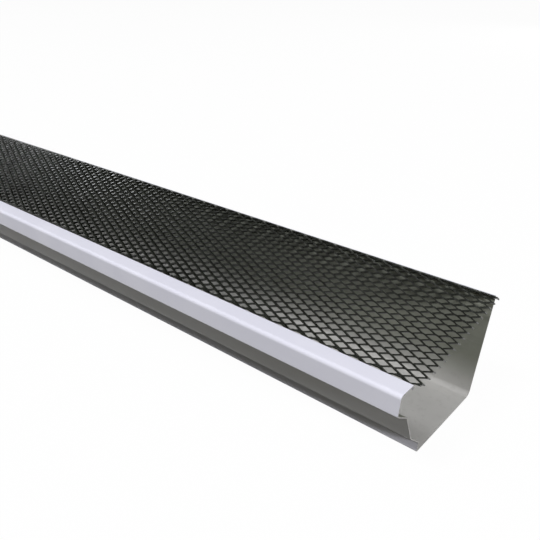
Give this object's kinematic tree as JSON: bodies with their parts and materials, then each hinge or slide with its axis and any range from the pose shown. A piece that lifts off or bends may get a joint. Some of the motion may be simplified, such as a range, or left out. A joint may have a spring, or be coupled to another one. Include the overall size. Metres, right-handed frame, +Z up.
{
  "type": "mesh gutter guard with gutter section",
  "caption": "Length of white ogee eaves gutter with a black expanded-metal leaf guard laid in from behind its front lip up to the top of its back wall.",
  "frame": {"origin": "on the floor under the middle of the part's bounding box", "axes": "+X along the length, +Y from the front lip to the back wall, +Z up"},
  "size_m": [0.9144, 0.127, 0.0902],
  "materials": {
    "gutter_sheet": "white baked enamel outside, grey wash coat inside, satin",
    "guard_mesh": "black coated steel, semi-gloss"
  },
  "bodies": {
    "root": {"gutter_trough": "gutter_sheet", "guard_deck_1": "guard_mesh", "guard_deck_2": "guard_mesh", "guard_deck_3": "guard_mesh", "guard_deck_4": "guard_mesh", "guard_deck_5": "guard_mesh", "guard_deck_6": "guard_mesh"}
  },
  "joints": []
}
